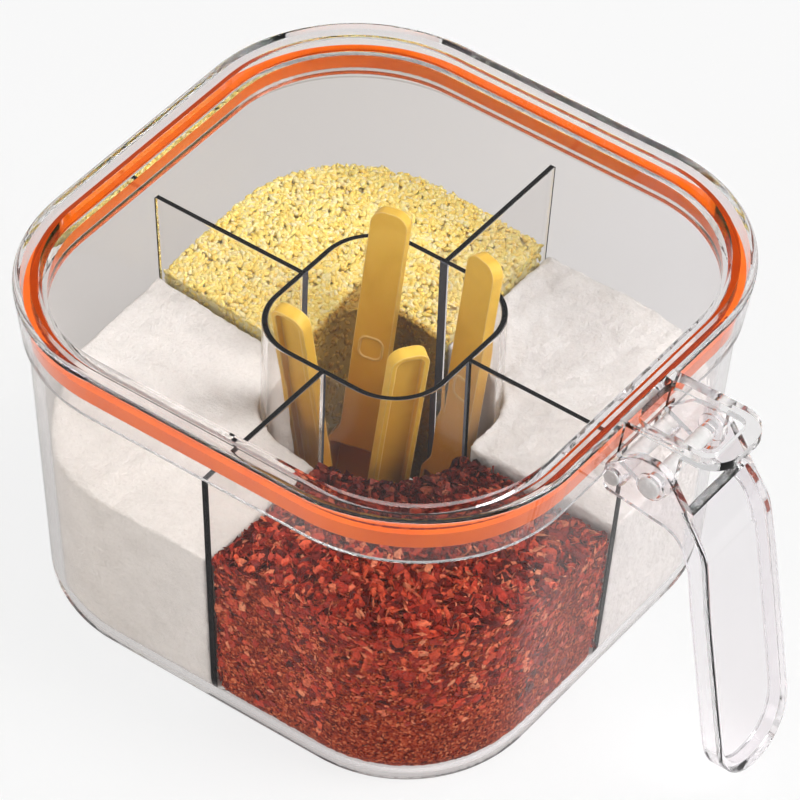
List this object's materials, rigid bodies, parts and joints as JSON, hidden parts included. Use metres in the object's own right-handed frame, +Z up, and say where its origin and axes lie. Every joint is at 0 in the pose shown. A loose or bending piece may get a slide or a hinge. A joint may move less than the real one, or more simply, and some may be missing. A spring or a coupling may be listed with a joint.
{
  "type": "seasoning box set",
  "caption": "Square clear seasoning box with rounded corners, divided inside around a cup of spoons, with a sealed lid that hinges at the handle under a thumb loop.",
  "frame": {"origin": "centre of the flat base that the tub stands on", "axes": "+X from the tub's centre to the handle, +Z up, +Y to the side away from the pins' heads"},
  "size_m": [0.2201, 0.1756, 0.117],
  "materials": {
    "clear_plastic": "clear glossy moulded plastic, very slightly warm grey",
    "seal_rubber": "smooth satin orange silicone",
    "pin_plastic": "pale glossy plastic",
    "spoon_plastic": "satin ochre moulded plastic",
    "salt": "fine white crystals",
    "granules": "short pale yellow grains",
    "powder": "fine white powder",
    "chili_flakes": "coarse dry red flakes over finer ground red"
  },
  "bodies": {
    "tub": {"box_body": "clear_plastic", "compartment_insert": "clear_plastic", "handle": "clear_plastic", "handle_pin": "pin_plastic", "hinge_pin": "pin_plastic", "salt_fill": "salt", "granule_fill": "granules", "powder_fill": "powder", "chili_fill": "chili_flakes"},
    "lid": {"lid": "clear_plastic", "seal_ring": "seal_rubber"},
    "spoon_back_left": {"spoon_back_left": "spoon_plastic"},
    "spoon_back_right": {"spoon_back_right": "spoon_plastic"},
    "spoon_front_left": {"spoon_front_left": "spoon_plastic"},
    "spoon_front_right": {"spoon_front_right": "spoon_plastic"}
  },
  "joints": [
    {"name": "lid_hinge", "type": "hinge", "parent": "tub", "child": "lid", "pos_m": [0.09951, 0, 0.1022], "axis": [0, 1, 0], "range_deg": [0, 66]},
    {"name": "spoon_back_left_lift", "type": "slide", "parent": "tub", "child": "spoon_back_left", "axis": [0, 0, 1], "range_m": [0, 0.0018]},
    {"name": "spoon_back_right_lift", "type": "slide", "parent": "tub", "child": "spoon_back_right", "axis": [0, 0, 1], "range_m": [0, 0.0018]},
    {"name": "spoon_front_left_lift", "type": "slide", "parent": "tub", "child": "spoon_front_left", "axis": [0, 0, 1], "range_m": [0, 0.0018]},
    {"name": "spoon_front_right_lift", "type": "slide", "parent": "tub", "child": "spoon_front_right", "axis": [0, 0, 1], "range_m": [0, 0.0018]}
  ]
}
